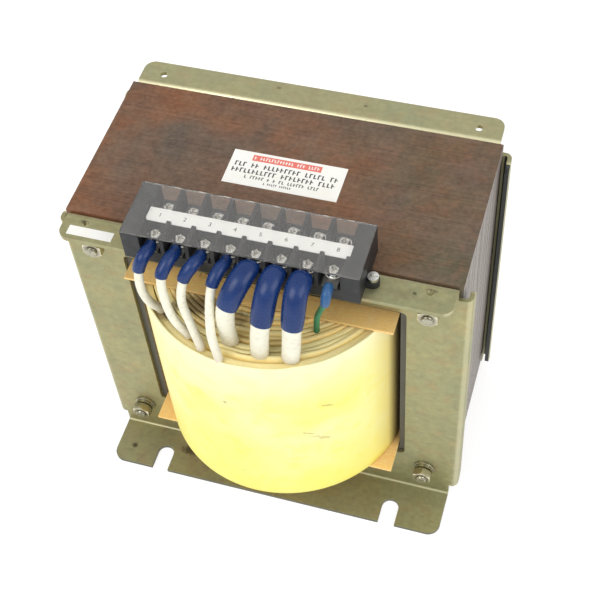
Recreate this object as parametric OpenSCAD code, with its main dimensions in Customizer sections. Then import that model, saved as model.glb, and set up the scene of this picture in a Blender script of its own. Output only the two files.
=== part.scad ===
// Single-phase dry transformer: a laminated shell core clamped between two pressed steel
// frames, a wound coil that bulges through the frame windows, and a covered terminal block.
// Front is -Y. The origin is on the ground under the middle of the core.

/* [Core] */
// Width of the outer legs and yokes, half the middle leg
leg_w = 30.5; // [26:0.5:36]
// Width of the two windows in the laminations
window_w = 41.5; // [36:0.5:48]
// Height of the two windows in the laminations
window_h = 131; // [110:1:155]
// Depth of the lamination stack
stack_d = 95; // [80:1:115]
// Height of the core above the ground
core_lift = 9.8; // [7:0.2:14]

/* [Clamp frames] */
// Thickness of the pressed sheet
sheet_t = 2.3; // [1.6:0.1:3.2]
// Inside radius of the bends
bend_r = 1.5; // [1:0.1:2.5]
// Gap between the core's side and the side flange
side_gap = 2.7; // [2:0.1:5]
// Depth of the side flanges from the plate's outer face
side_flange_d = 10; // [8:0.5:14]
// Height of the side flanges' lower ends above the ground
side_flange_low = 11; // [8:0.5:16]
// Distance of the side flanges' upper ends below the top of the core
side_flange_drop = 8; // [6:0.5:12]
// Corner radius of the side flanges
side_flange_corner = 5.5; // [3:0.5:8]
// Depth of the top flange in front of the plate
top_flange_d = 15.5; // [14:0.5:20]
// Distance of the top flange's ends inside the core's sides
top_flange_inset = 2; // [1:0.5:4]
// Corner radius of the top flange
top_flange_corner = 6; // [3:0.5:8]
// Depth of the foot in front of the plate
foot_d = 29; // [26:0.5:36]
// Corner radius of the foot
foot_corner = 7; // [3:0.5:9]
// Distance of the foot's slots from its ends
slot_inset = 31; // [22:0.5:40]
// Width of the foot's slots
slot_w = 10; // [8:0.5:12]
// Length of the foot's slots from the open end
slot_l = 16; // [13:0.5:19]
// How far the frame's window is larger than the core's window on each side
window_margin = 3.5; // [2:0.5:6]
// Corner radius of the frame's window
window_corner = 3; // [1:0.5:5]
// Distance of the end holes from the top flange's ends
end_hole_inset = 12.75; // [9:0.25:13]
// Diameter of the front flange's end holes
front_hole_d = 3.6; // [3:0.1:4]
// Distance of the front flange's end holes from the plate
front_hole_out = 4.4; // [4:0.1:8]
// Diameter of the rear flange's end holes
rear_hole_d = 4.2; // [3:0.1:5]
// Distance of the rear flange's end holes from the plate
rear_hole_out = 6.4; // [5:0.1:9]

/* [Clamp bolts] */
// Diameter of the clamp bolts
bolt_d = 6; // [5:0.5:7]
// Gap round a bolt in the core and frames
bolt_gap = 0.5; // [0.3:0.1:0.8]
// Distance of the bolts from the core's sides
bolt_inset_x = 15; // [13:0.5:17]
// Distance of the bolts from the core's top and bottom
bolt_inset_z = 17; // [16:0.5:20]
// Diameter of the plain washers
washer_d = 12.5; // [11:0.5:14]
// Thickness of the plain washers
washer_t = 1.6; // [1:0.1:2]
// Diameter of the spring washers
spring_washer_d = 11; // [10:0.5:12]
// Thickness of the spring washers
spring_washer_t = 1.8; // [1.2:0.1:2.2]
// Width of the cut in the spring washers
spring_washer_cut = 1.2; // [0.8:0.1:2]
// Width of nuts and bolt heads across the flats
nut_af = 10; // [9:0.5:11]
// Height of the nuts
nut_h = 5; // [4:0.5:6]
// Height of the bolt heads
head_h = 4; // [3:0.5:5]
// Length of thread that stands out of the nut
bolt_end = 1.4; // [0.6:0.2:4]
// Gap round a thread in its nut or washer
thread_gap = 0.1; // [0.05:0.05:0.3]

/* [Coil] */
// Gap between the former and the middle leg
former_gap = 0.5; // [0.3:0.1:1]
// Wall of the former
former_wall = 2; // [1.5:0.1:3]
// Gap between the coil's side and the outer leg
coil_gap = 2.5; // [1.5:0.1:4]
// How far the coil stands out in front of the frame
coil_reach = 47.5; // [42:0.5:54]
// Depth of the coil's outer end arc as a share of the coil's half width
coil_arc_share = 0.81; // [0.74:0.01:0.86]
// Build of the inner winding as a share of the coil's build
inner_share = 0.415; // [0.35:0.005:0.5]
// Number of layers in the inner winding
inner_layers = 4; // [3:1:5]
// Number of layers in the outer winding
outer_layers = 5; // [4:1:6]
// Thickness of the paper between the two windings
screen_t = 1.5; // [1:0.1:2]
// Thickness of the paper between layers
paper_t = 0.8; // [0.6:0.1:1]
// How far the layer paper stands above the wire
paper_lip = 1.4; // [0.8:0.1:2]
// Thickness of the outer wrap
wrap_t = 1; // [0.6:0.1:1.6]
// Gap between one winding and the next
winding_gap = 0.2; // [0.15:0.05:0.4]
// Thickness of the pressboard cheeks
cheek_t = 1.6; // [1:0.1:2.4]
// Gap between a cheek and the outer legs
cheek_gap = 0.6; // [0.3:0.1:1.2]
// How far the top cheek stands out in front of the frame
top_cheek_out = 10.5; // [8:0.5:13]
// How far the bottom cheek stands out in front of the frame
bottom_cheek_out = 15.5; // [12:0.5:20]
// Gap that lets the coil and its cheeks into the core
seat_gap = 0.3; // [0.2:0.1:0.4]

/* [Terminal block] */
// Number of poles
poles = 8; // [8]
// Distance between poles
pole_pitch = 12.8; // [12.4:0.1:13]
// Distance of the block's middle to the right of the core's middle
block_x = -2; // [-4:0.5:2]
// Distance of the block's middle in front of the frame
block_out = 2.3; // [1.5:0.1:3]
// Depth of the block
block_d = 33; // [32:0.5:36]
// Length of the closed block at each end of the poles
block_end = 7.3; // [5:0.1:8]
// Height of the pocket floor over the flange
floor_h = 7.5; // [7:0.1:9]
// Height of the barriers over the flange
barrier_h = 17.7; // [17:0.1:20]
// Thickness of the barriers
barrier_t = 2; // [1.6:0.1:2.2]
// Width of the ridge between the two rows of screws
ridge_w = 8.6; // [7.6:0.1:9]
// Height of the ridge over the flange
ridge_h = 15; // [13:0.1:16]
// Distance between the two rows of screws
row_spacing = 17.4; // [17:0.1:18.4]
// Thickness of the terminal plates
plate_t = 1; // [0.8:0.1:1.2]
// Width of the terminal plates
plate_w = 9; // [8:0.1:9.4]
// How far a terminal plate runs past its screws
plate_end = 4.5; // [4:0.1:5]
// Thickness of the ring lugs
lug_t = 0.8; // [0.6:0.1:1]
// Width of the ring lugs
lug_w = 7.6; // [7:0.1:8.4]
// Diameter of the terminal screws
screw_d = 4; // [3.5:0.1:4.2]
// Diameter of the terminal screw heads
screw_head_d = 7; // [6.4:0.1:7.6]
// Height of the terminal screw heads
screw_head_h = 2.9; // [2.4:0.1:3.2]
// Depth of the terminal screws below the pocket floor
screw_reach = 5; // [4:0.1:6]
// Width of the cross cut in the screw heads
cross_w = 1; // [0.8:0.1:1.2]
// Length of the cross cut in the screw heads
cross_l = 4.6; // [3.6:0.1:5]
// Depth of the cross cut in the screw heads
cross_depth = 1.2; // [0.8:0.1:1.6]
// Length of the mounting ears
ear_l = 6.2; // [6.2:0.1:8]
// Width of the mounting ears
ear_w = 6.4; // [6:0.1:7]
// Height of the mounting ears
ear_h = 4; // [3:0.1:6]
// Distance of the mounting screws in front of the frame
ear_out = 6; // [5.6:0.1:7]
// Diameter of the mounting screws
ear_screw_d = 3.5; // [3:0.1:3.6]
// Diameter of the mounting screw heads
ear_head_d = 5.6; // [5:0.1:6]
// Height of the mounting screw heads
ear_head_h = 2.2; // [1.8:0.1:2.6]
// Thickness of the cover
cover_t = 1.5; // [1:0.1:2.5]
// Thickness of the marking strip
strip_t = 0.4; // [0.3:0.1:0.8]
// Distance of the marking strip's edges inside the ridge's edges
strip_edge = 0.2; // [0.1:0.1:0.6]
// Width of the notches in the marking strip
notch_w = 1.6; // [1:0.1:2.4]
// Depth of the notches in the marking strip
notch_d = 1.2; // [0.8:0.1:2]

/* [Leads] */
// Diameter of the caps on the thin leads
thin_cap_d = 6.8; // [6:0.1:7.4]
// Diameter of the thin leads
thin_lead_d = 4.6; // [4:0.1:5]
// Diameter of the caps on the thick leads
thick_cap_d = 11; // [9.6:0.1:11.6]
// Diameter of the thick leads
thick_lead_d = 8.8; // [7.6:0.1:9.2]
// Diameter of the cap on the last lead
last_cap_d = 5; // [4.4:0.1:5.6]
// Diameter of the last lead
last_lead_d = 3; // [2.6:0.1:3.4]
// Share of a cap's diameter that is left at its mouth
cap_taper = 0.9; // [0.8:0.01:1]
// Gap between the block and the caps
cap_gap = 0.4; // [0.3:0.1:0.6]

/* [Hidden] */
$fn = 64;
// Segments of the coil's end arcs
arc_fn = 720;
// Cut-outs run this far past the faces they open
past = 1;

core_w = 4 * leg_w + 2 * window_w;
core_h = window_h + 2 * leg_w;
top_z = core_lift + core_h;
face_y = -stack_d / 2 - sheet_t;
bend_out = bend_r + sheet_t;
frame_w = core_w + 2 * (side_gap + sheet_t);
foot_l = core_w;
top_flange_l = core_w - 2 * top_flange_inset;
window_low = core_lift + leg_w;
window_high = top_z - leg_w;
frame_window_w = core_w - 2 * leg_w + 2 * window_margin;
frame_window_low = window_low - window_margin;
frame_window_high = window_high + window_margin;

bolt_x = core_w / 2 - bolt_inset_x;
bolt_low = core_lift + bolt_inset_z;
bolt_high = top_z - bolt_inset_z;
bolt_hole_d = bolt_d + 2 * bolt_gap;
thread_bore = bolt_d + 2 * thread_gap;
nut_face = washer_t + spring_washer_t;

former_w = 2 * (leg_w + former_gap + former_wall);
former_d = stack_d + 2 * (former_gap + former_wall);
coil_half_w = leg_w + window_w - coil_gap;
coil_build = coil_half_w - former_w / 2;
coil_arc_d = coil_arc_share * coil_half_w;
coil_half_d = stack_d / 2 + sheet_t + coil_reach;
coil_end_build = coil_half_d - former_d / 2;
coil_low = window_low + cheek_t;
coil_high = window_high - cheek_t - seat_gap;
inner_build = inner_share * coil_build;
screen_in = inner_build + winding_gap;
outer_in = screen_in + screen_t + winding_gap;
outer_out = coil_build - wrap_t - winding_gap;

block_y = face_y - block_out;
block_l = poles * pole_pitch + barrier_t + 2 * block_end;
block_front = block_y - block_d / 2;
front_row = block_y - row_spacing / 2;
rear_row = block_y + row_spacing / 2;
floor_z = top_z + floor_h;
plate_z = floor_z + plate_t;
lug_z = plate_z + lug_t;
ridge_z = top_z + ridge_h;
cover_z = top_z + barrier_h;
screw_bore = screw_d + 2 * thread_gap;
ear_x = block_l / 2 + ear_l - ear_w / 2;
ear_y = face_y - ear_out;
ear_bore = ear_screw_d + 2 * thread_gap;
cap_start = block_front - cap_gap;

// Lead routes between the block and the coil. A point is the distance to the right of the pole
// in pole pitches, the share of the way from the block's front to the coil's, and the share of
// the way up from the coil to the cap.
ROUTE_SHARES = [
    [[-0.12, 0.2, 0.98], [-0.29, 0.3, 0.82], [-0.25, 0.4, 0.59], [-0.18, 0.31, 0.26], [0.05, 0.15, 0]],
    [[-0.1, 0.2, 1], [-0.28, 0.4, 0.87], [-0.22, 0.5, 0.59], [0.04, 0.56, 0.26], [0.5, 0.55, 0]],
    [[-0.18, 0.2, 0.99], [-0.46, 0.34, 0.84], [-0.54, 0.48, 0.57], [-0.27, 0.57, 0.26], [0.18, 0.75, 0]],
    [[-0.12, 0.2, 1], [-0.27, 0.39, 0.89], [-0.33, 0.56, 0.63], [-0.25, 0.76, 0.29], [0.03, 0.9, 0]],
    [[-0.26, 0.33, 0.93], [-0.62, 0.56, 0.69], [-0.75, 0.57, 0.49], [-0.84, 0.52, 0.25], [-0.84, 0.46, 0]],
    [[-0.13, 0.35, 0.92], [-0.29, 0.61, 0.56], [-0.37, 0.65, 0.38], [-0.46, 0.62, 0.18], [-0.52, 0.6, 0]],
    [[-0.05, 0.33, 0.93], [-0.1, 0.58, 0.58], [-0.17, 0.57, 0.38], [-0.24, 0.56, 0.18], [-0.3, 0.56, 0]],
    [[0, 0.16, 0.97], [-0.06, 0.2, 0.83], [-0.3, 0.09, 0.61], [-0.56, 0, 0.34], [-0.7, -0.1, 0]],
];
// Kind of each lead: 0 thin, 1 thick, 2 the last one
LEAD_KIND = [0, 0, 0, 0, 1, 1, 1, 2];
// Stretches of a lead inside its cap, and in all
cap_stretches = 2;
lead_stretches = len(ROUTE_SHARES[0]);
// Rings on each stretch of a lead, and sides of a lead
lead_rings = 3;
lead_sides = 10;

// Rectangle with four round corners, centred
module rounded_rect(w, h, r) {
    square([w - 2 * r, h], center = true);
    square([w, h - 2 * r], center = true);
    for (x = [-1, 1], y = [-1, 1])
        translate([x * (w / 2 - r), y * (h / 2 - r)])
            circle(r);
}

// Tab that grows from the X axis along +Y, with its two far corners round
module tab(w, d, r) {
    intersection() {
        rounded_rect(w, 2 * d, r);
        translate([-w / 2, 0])
            square([w, d]);
    }
}

// Section of a right-angle bend in the sheet, in the first quadrant
module bend() {
    intersection() {
        difference() {
            circle(bend_out);
            circle(bend_r);
        }
        square(bend_out);
    }
}

// Places its children at the four clamp bolts, with +Z turned to +Y
module at_bolts(y) {
    for (x = [-bolt_x, bolt_x], z = [bolt_low, bolt_high])
        translate([x, y, z])
            rotate([-90, 0, 0])
                children();
}

// Plate of a pressed frame, flat between its bends
module frame_plate() {
    side_z = [side_flange_low, top_z - side_flange_drop];
    flat_w = frame_w - 2 * bend_out;
    translate([0, face_y + sheet_t, 0])
        rotate([90, 0, 0])
            linear_extrude(sheet_t)
                difference() {
                    union() {
                        translate([-foot_l / 2, bend_out])
                            square([foot_l, side_z[0] - bend_out + past]);
                        translate([-flat_w / 2, side_z[0]])
                            square([flat_w, side_z[1] - side_z[0]]);
                        translate([-top_flange_l / 2, side_z[1] - past])
                            square([top_flange_l, top_z - bend_out - side_z[1] + past]);
                    }
                    translate([0, (frame_window_low + frame_window_high) / 2])
                        rounded_rect(frame_window_w, frame_window_high - frame_window_low,
                                     window_corner);
                }
}

// Foot or top flange: a bend and a flat tab that run along X
module folded_tab(l, d, corner) {
    rotate([90, 0, 90])
        translate([0, 0, -l / 2])
            linear_extrude(l)
                bend();
    translate([0, 0, bend_r])
        linear_extrude(sheet_t)
            mirror([0, 1, 0])
                tab(l, d - bend_r, corner);
}

// Side flange on the right: a bend and a flat strip that run up the plate
module side_flange() {
    low = side_flange_low;
    high = top_z - side_flange_drop;
    strip_d = side_flange_d - bend_out;
    translate([frame_w / 2 - bend_out, face_y + bend_out, low])
        linear_extrude(high - low)
            mirror([0, 1])
                bend();
    translate([frame_w / 2 - sheet_t, face_y + bend_out, (low + high) / 2])
        rotate([90, 0, 90])
            linear_extrude(sheet_t)
                rotate(-90)
                    tab(high - low, strip_d, min(side_flange_corner, 0.9 * strip_d));
}

// Pressed frame in the front position
module pressed_frame(hole_d, hole_out) {
    difference() {
        union() {
            frame_plate();
            translate([0, face_y - bend_r, top_z - bend_out])
                folded_tab(top_flange_l, top_flange_d, top_flange_corner);
            translate([0, face_y - bend_r, bend_out])
                mirror([0, 0, 1])
                    folded_tab(foot_l, foot_d, foot_corner);
            side_flange();
            mirror([1, 0, 0])
                side_flange();
        }
        at_bolts(face_y - past)
            cylinder(d = bolt_hole_d, h = sheet_t + 2 * past);
        for (x = [-1, 1]) {
            translate([x * (top_flange_l / 2 - end_hole_inset), face_y - hole_out, top_z - sheet_t - past])
                cylinder(d = hole_d, h = sheet_t + 2 * past);
            translate([x * (foot_l / 2 - slot_inset), face_y - foot_d, -past])
                linear_extrude(sheet_t + 2 * past) {
                    translate([-slot_w / 2, -past])
                        square([slot_w, slot_l - slot_w / 2 + past]);
                    translate([0, slot_l - slot_w / 2])
                        circle(d = slot_w);
                }
        }
    }
}

// Outline of the coil at a build e beside the middle leg: straight sides, and an end arc
// that grows deeper from the former to the outside
module coil_outline(e) {
    u = e / coil_build;
    w = former_w / 2 + e;
    d = former_d / 2 + u * coil_end_build;
    arc_d = u * coil_arc_d;
    arc_r = (w * w + arc_d * arc_d) / (2 * arc_d);
    side_d = d - arc_d - past;
    square([2 * w, 2 * side_d], center = true);
    for (s = [0, 180])
        rotate(s)
            intersection() {
                translate([0, d - arc_r])
                    circle(arc_r, $fn = arc_fn);
                translate([-w, side_d - past])
                    square([2 * w, arc_d + 3 * past]);
            }
}

// Ring between two builds of the coil
module coil_ring(e_in, e_out) {
    difference() {
        coil_outline(e_out);
        coil_outline(e_in);
    }
}

// Grooves that leave the edges of the layer paper standing at both ends of a winding
module layer_grooves(e_in, e_out, layers) {
    step = (e_out - e_in - paper_t) / layers;
    for (i = [0 : layers - 1], z = [coil_low - past, coil_high - paper_lip])
        translate([0, 0, z])
            linear_extrude(paper_lip + past)
                coil_ring(e_in + i * step + paper_t, e_in + (i + 1) * step);
}

// Pressboard cheek round the former
module cheek(out) {
    linear_extrude(cheek_t)
        difference() {
            square([2 * (leg_w + window_w - cheek_gap), stack_d + 2 * (sheet_t + out)], center = true);
            square([former_w + 2 * seat_gap, former_d + 2 * seat_gap], center = true);
        }
}

// Pan head with a cross cut, on its seat
module pan_head(d, h) {
    difference() {
        cylinder(d = d, h = h);
        for (a = [0, 90])
            rotate(a)
                translate([-cross_l / 2, -cross_w / 2, h - cross_depth])
                    cube([cross_l, cross_w, cross_depth + past]);
    }
}

// X of a pole, counted from 1 on the left
function pole_x(i) = block_x + (i - (poles + 1) / 2) * pole_pitch;

// Row of terminal screws with the heads seated at a height
module screw_row(y, seat) {
    for (i = [1 : poles])
        translate([pole_x(i), y, 0]) {
            translate([0, 0, seat])
                pan_head(screw_head_d, screw_head_h);
            translate([0, 0, floor_z - screw_reach])
                cylinder(d = screw_d, h = seat - floor_z + screw_reach);
        }
}

// Diameters of a cap and a lead, counted from 1 on the left
function cap_d(i) = [thin_cap_d, thick_cap_d, last_cap_d][LEAD_KIND[i - 1]];
function lead_d(i) = [thin_lead_d, thick_lead_d, last_lead_d][LEAD_KIND[i - 1]];

// All points of a lead: out of its lug at the block, along the route, and down onto the coil
function lead_points(i) = let (cap_z = floor_z + cap_d(i) / 2, end_z = coil_high + seat_gap)
    [[pole_x(i), cap_start, cap_z],
     for (p = ROUTE_SHARES[i - 1])
        [pole_x(i) + p[0] * pole_pitch,
         cap_start - p[1] * (coil_half_d + cap_start),
         end_z + p[2] * (cap_z - end_z)]];

function unit(v) = v / norm(v);

// Point at share t of the smooth curve from p1 to p2
function curve_point(p0, p1, p2, p3, t) =
    p1 + t / 2 * (p2 - p0 + t * (2 * p0 - 5 * p1 + 4 * p2 - p3
                                 + t * (3 * p1 - p0 - 3 * p2 + p3)));

// Smooth path through points, with n steps on each stretch
function smooth_path(p, n) = let (m = len(p) - 1)
    [for (k = [0 : m - 1], j = [0 : n - 1])
        curve_point(p[max(k - 1, 0)], p[k], p[k + 1], p[min(k + 2, m)], j / n),
     p[m]];

// Directions along a path that starts forwards and ends downwards
function path_dirs(p) = let (m = len(p) - 1)
    [[0, -1, 0], for (k = [1 : m - 1]) unit(p[k + 1] - p[k - 1]), [0, 0, -1]];

// Tube along a path whose radius runs from r0 to r1
module tube(path, dirs, r0, r1) {
    n = lead_sides;
    m = len(path) - 1;
    points = [for (k = [0 : m])
        let (t = dirs[k], u = unit([1, 0, 0] - t * t[0]), v = cross(t, u), r = r0 + (r1 - r0) * k / m)
            for (j = [0 : n - 1]) path[k] + r * (cos(360 * j / n) * u + sin(360 * j / n) * v)];
    sides = [for (k = [0 : m - 1], j = [0 : n - 1])
        let (a = k * n + j, b = k * n + (j + 1) % n)
            each [[a, a + n, b + n], [a, b + n, b]]];
    ends = [[for (j = [0 : n - 1]) j], [for (j = [n - 1 : -1 : 0]) m * n + j]];
    polyhedron(points, concat(sides, ends));
}

// Stretch of a lead between two of its route's points
module lead_stretch(i, from, to, r0, r1) {
    path = smooth_path(lead_points(i), lead_rings);
    dirs = path_dirs(path);
    span = [from * lead_rings : to * lead_rings];
    tube([for (k = span) path[k]], [for (k = span) dirs[k]], r0, r1);
}

module laminated_core() {
    color("saddlebrown")
        difference() {
            translate([0, stack_d / 2, 0])
                rotate([90, 0, 0])
                    linear_extrude(stack_d)
                        difference() {
                            translate([-core_w / 2, core_lift])
                                square([core_w, core_h]);
                            for (x = [leg_w, -leg_w - window_w])
                                translate([x, window_low])
                                    square([window_w, window_high - window_low]);
                        }
            at_bolts(-stack_d / 2 - past)
                cylinder(d = bolt_hole_d, h = stack_d + 2 * past);
        }
}

module front_frame() {
    color("darkkhaki")
        difference() {
            pressed_frame(front_hole_d, front_hole_out);
            for (x = [-1, 1])
                translate([block_x + x * ear_x, ear_y, top_z - sheet_t - past])
                    cylinder(d = ear_bore, h = sheet_t + 2 * past);
        }
}

module rear_frame() {
    color("darkkhaki")
        rotate(180)
            pressed_frame(rear_hole_d, rear_hole_out);
}

module clamp_bolts() {
    front = face_y - nut_face - nut_h - bolt_end;
    rear = -face_y + washer_t;
    color("silver")
        at_bolts(front) {
            cylinder(d = bolt_d, h = rear - front);
            translate([0, 0, rear - front])
                rotate(30)
                    cylinder(d = nut_af / cos(30), h = head_h, $fn = 6);
        }
}

module clamp_nuts() {
    color("silver")
        at_bolts(face_y - nut_face - nut_h)
            difference() {
                rotate(30)
                    cylinder(d = nut_af / cos(30), h = nut_h, $fn = 6);
                translate([0, 0, -past])
                    cylinder(d = thread_bore, h = nut_h + 2 * past);
            }
}

// Flat ring round a bolt
module washer(d, t) {
    difference() {
        cylinder(d = d, h = t);
        translate([0, 0, -past])
            cylinder(d = thread_bore, h = t + 2 * past);
    }
}

module spring_washers() {
    color("silver")
        at_bolts(face_y - nut_face)
            difference() {
                washer(spring_washer_d, spring_washer_t);
                translate([0, -spring_washer_cut / 2, -past])
                    cube([spring_washer_d, spring_washer_cut, spring_washer_t + 2 * past]);
            }
}

module front_washers() {
    color("silver")
        at_bolts(face_y - washer_t)
            washer(washer_d, washer_t);
}

module rear_washers() {
    color("silver")
        at_bolts(-face_y)
            washer(washer_d, washer_t);
}

module coil_former() {
    color("peru")
        translate([0, 0, window_low])
            linear_extrude(window_high - window_low - seat_gap)
                difference() {
                    square([former_w, former_d], center = true);
                    square([former_w - 2 * former_wall, former_d - 2 * former_wall], center = true);
                }
}

module inner_winding() {
    color("burlywood")
        difference() {
            translate([0, 0, coil_low])
                linear_extrude(coil_high - coil_low)
                    difference() {
                        coil_outline(inner_build);
                        square([former_w + 2 * winding_gap, former_d + 2 * winding_gap], center = true);
                    }
            layer_grooves(paper_t, inner_build, inner_layers);
        }
}

module winding_screen() {
    color("tan")
        translate([0, 0, coil_low])
            linear_extrude(coil_high - coil_low)
                coil_ring(screen_in, screen_in + screen_t);
}

module outer_winding() {
    color("burlywood")
        difference() {
            translate([0, 0, coil_low])
                linear_extrude(coil_high - coil_low)
                    coil_ring(outer_in, outer_out);
            layer_grooves(outer_in, outer_out, outer_layers);
        }
}

module outer_wrap() {
    color("khaki")
        translate([0, 0, coil_low])
            linear_extrude(coil_high - coil_low)
                coil_ring(coil_build - wrap_t, coil_build);
}

module top_cheek() {
    color("sandybrown")
        translate([0, 0, coil_high])
            cheek(top_cheek_out);
}

module bottom_cheek() {
    color("sandybrown")
        translate([0, 0, window_low])
            cheek(bottom_cheek_out);
}

module terminal_block() {
    half_d = block_d / 2;
    color("dimgray")
        difference() {
            translate([block_x, block_y, top_z]) {
                translate([-block_l / 2, -half_d, 0])
                    cube([block_l, block_d, floor_h]);
                for (i = [0 : poles])
                    translate([(i - poles / 2) * pole_pitch - barrier_t / 2, 0, 0])
                        for (y = [-half_d, ridge_w / 2])
                            translate([0, y, 0])
                                cube([barrier_t, half_d - ridge_w / 2, barrier_h]);
                translate([-block_l / 2, -ridge_w / 2, 0])
                    cube([block_l, ridge_w, ridge_h]);
                for (x = [-block_l / 2, block_l / 2 - block_end])
                    translate([x, -half_d, 0])
                        cube([block_end, block_d, barrier_h]);
                for (m = [0, 1])
                    mirror([m, 0, 0])
                        translate([ear_x, ear_y - block_y, 0]) {
                            cylinder(d = ear_w, h = ear_h);
                            translate([block_l / 2 - past - ear_x, -ear_w / 2, 0])
                                cube([ear_x - block_l / 2 + past, ear_w, ear_h]);
                        }
            }
            for (i = [1 : poles]) {
                translate([pole_x(i) - plate_w / 2 - thread_gap, block_y - ridge_w / 2 - past, floor_z])
                    cube([plate_w + 2 * thread_gap, ridge_w + 2 * past, plate_t + thread_gap]);
                for (y = [front_row, rear_row])
                    translate([pole_x(i), y, floor_z - screw_reach - thread_gap])
                        cylinder(d = screw_bore, h = screw_reach + thread_gap + past);
            }
            for (x = [-1, 1])
                translate([block_x + x * ear_x, ear_y, top_z - past])
                    cylinder(d = ear_bore, h = ear_h + 2 * past);
        }
}

module terminal_plates() {
    half_l = row_spacing / 2 + plate_end;
    color("lightgray")
        for (i = [1 : poles])
            translate([pole_x(i), block_y, floor_z])
                linear_extrude(plate_t)
                    difference() {
                        square([plate_w, 2 * half_l], center = true);
                        for (y = [-1, 1])
                            translate([0, y * row_spacing / 2])
                                circle(d = screw_bore);
                    }
}

module front_terminal_screws() {
    color("gainsboro")
        screw_row(front_row, lug_z);
}

module rear_terminal_screws() {
    color("gainsboro")
        screw_row(rear_row, plate_z);
}

module mounting_screws() {
    reach = ear_h + sheet_t;
    color("gainsboro")
        for (x = [-1, 1])
            translate([block_x + x * ear_x, ear_y, top_z + ear_h]) {
                pan_head(ear_head_d, ear_head_h);
                translate([0, 0, -reach])
                    cylinder(d = ear_screw_d, h = reach);
            }
}

module marking_strip() {
    strip_l = poles * pole_pitch;
    strip_w = ridge_w - 2 * strip_edge;
    color("white")
        translate([block_x, block_y, ridge_z])
            linear_extrude(strip_t)
                difference() {
                    square([strip_l, strip_w], center = true);
                    for (i = [1 : poles - 1])
                        translate([(i - poles / 2) * pole_pitch - notch_w / 2, -strip_w / 2 - past])
                            square([notch_w, notch_d + past]);
                }
}

module terminal_cover() {
    color("lightsteelblue", 0.5)
        translate([block_x - block_l / 2, block_front, cover_z])
            cube([block_l, block_d, cover_t]);
}

module ring_lugs() {
    color("silver")
        for (i = [1 : poles])
            translate([pole_x(i), front_row, plate_z])
                linear_extrude(lug_t)
                    difference() {
                        union() {
                            circle(d = lug_w);
                            translate([-lug_w / 2, cap_start - front_row])
                                square([lug_w, front_row - cap_start]);
                        }
                        circle(d = screw_bore);
                    }
}

module lead_cap(i) {
    color("mediumblue")
        lead_stretch(i, 0, cap_stretches, cap_d(i) / 2, cap_taper * cap_d(i) / 2);
}

module lead(i) {
    color("whitesmoke")
        lead_stretch(i, cap_stretches, lead_stretches, lead_d(i) / 2, lead_d(i) / 2);
}

laminated_core();
front_frame();
rear_frame();
clamp_bolts();
clamp_nuts();
spring_washers();
front_washers();
rear_washers();
coil_former();
inner_winding();
winding_screen();
outer_winding();
outer_wrap();
top_cheek();
bottom_cheek();
terminal_block();
terminal_plates();
front_terminal_screws();
rear_terminal_screws();
mounting_screws();
marking_strip();
terminal_cover();
ring_lugs();
for (i = [1 : poles]) {
    lead_cap(i);
    lead(i);
}
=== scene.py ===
import math

import bpy
import numpy as np
from mathutils import Matrix, Vector


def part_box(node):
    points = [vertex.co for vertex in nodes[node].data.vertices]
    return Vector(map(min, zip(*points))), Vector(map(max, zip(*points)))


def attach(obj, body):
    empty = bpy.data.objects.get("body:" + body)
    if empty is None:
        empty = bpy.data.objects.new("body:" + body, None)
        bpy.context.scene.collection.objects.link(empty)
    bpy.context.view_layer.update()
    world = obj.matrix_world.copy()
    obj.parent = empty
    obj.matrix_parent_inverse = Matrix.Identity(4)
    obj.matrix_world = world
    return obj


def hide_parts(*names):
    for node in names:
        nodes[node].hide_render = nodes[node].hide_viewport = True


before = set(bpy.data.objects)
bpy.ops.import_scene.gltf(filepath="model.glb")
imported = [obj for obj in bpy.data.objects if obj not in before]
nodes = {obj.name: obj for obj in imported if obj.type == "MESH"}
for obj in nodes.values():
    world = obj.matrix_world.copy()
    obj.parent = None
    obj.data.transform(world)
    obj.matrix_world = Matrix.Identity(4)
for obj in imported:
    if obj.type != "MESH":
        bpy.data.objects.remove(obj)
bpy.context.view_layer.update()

scene = bpy.context.scene
mm = 0.001


# lowest and highest corner of a CAD node, in millimetres
def boxMm(node):
    low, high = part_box(node)
    return np.array(low) / mm, np.array(high) / mm


coreLow, coreHigh = boxMm("laminated_core")
formerHigh = boxMm("coil_former")[1]
wrapLow, wrapHigh = boxMm("outer_wrap")
blockFront = boxMm("terminal_block")[0][1]
platesBottom = boxMm("terminal_plates")[0][2]
stripLow, stripHigh = boxMm("marking_strip")
frontScrewsLow, frontScrewsHigh = boxMm("front_terminal_screws")
rearScrewsLow, rearScrewsHigh = boxMm("rear_terminal_screws")
washersLow, washersHigh = boxMm("front_washers")
boltsLow, boltsHigh = boxMm("clamp_bolts")
nutsLow, nutsHigh = boxMm("clamp_nuts")
faceY = washersHigh[1]  # front face of the front plate
topZ = coreHigh[2]
poleCount = 8
screwHead = frontScrewsHigh[1] - frontScrewsLow[1]
polePitch = (frontScrewsHigh[0] - frontScrewsLow[0] - screwHead) / (poleCount - 1)
poleX = frontScrewsLow[0] + screwHead / 2 + polePitch * np.arange(poleCount)
print("frame loaded:", len(nodes), "nodes")


# Mesh helpers

# quads between rings of points; closed joins the last ring to the first
def ringFaces(rings, around, closed):
    r = np.arange(rings if closed else rings - 1)[:, None]
    c = np.arange(around)[None, :]
    nextRing = (r + 1) % rings
    nextPoint = (c + 1) % around
    corners = [r * around + c, r * around + nextPoint, nextRing * around + nextPoint, nextRing * around + c]
    return np.stack(np.broadcast_arrays(*corners), -1).reshape(-1, 4)


# turns a closed part's faces outwards, by the sign of the volume that they enclose
def faceOutward(verts, quads, tris):
    halves = np.concatenate([quads[:, [0, 1, 2]], quads[:, [0, 2, 3]], tris])
    a, b, c = (verts[halves[:, k]] for k in range(3))
    if np.einsum("ij,ij->", a, np.cross(b, c)) < 0:
        quads, tris = quads[:, ::-1], tris[:, ::-1]
    return verts, quads, tris


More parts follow.
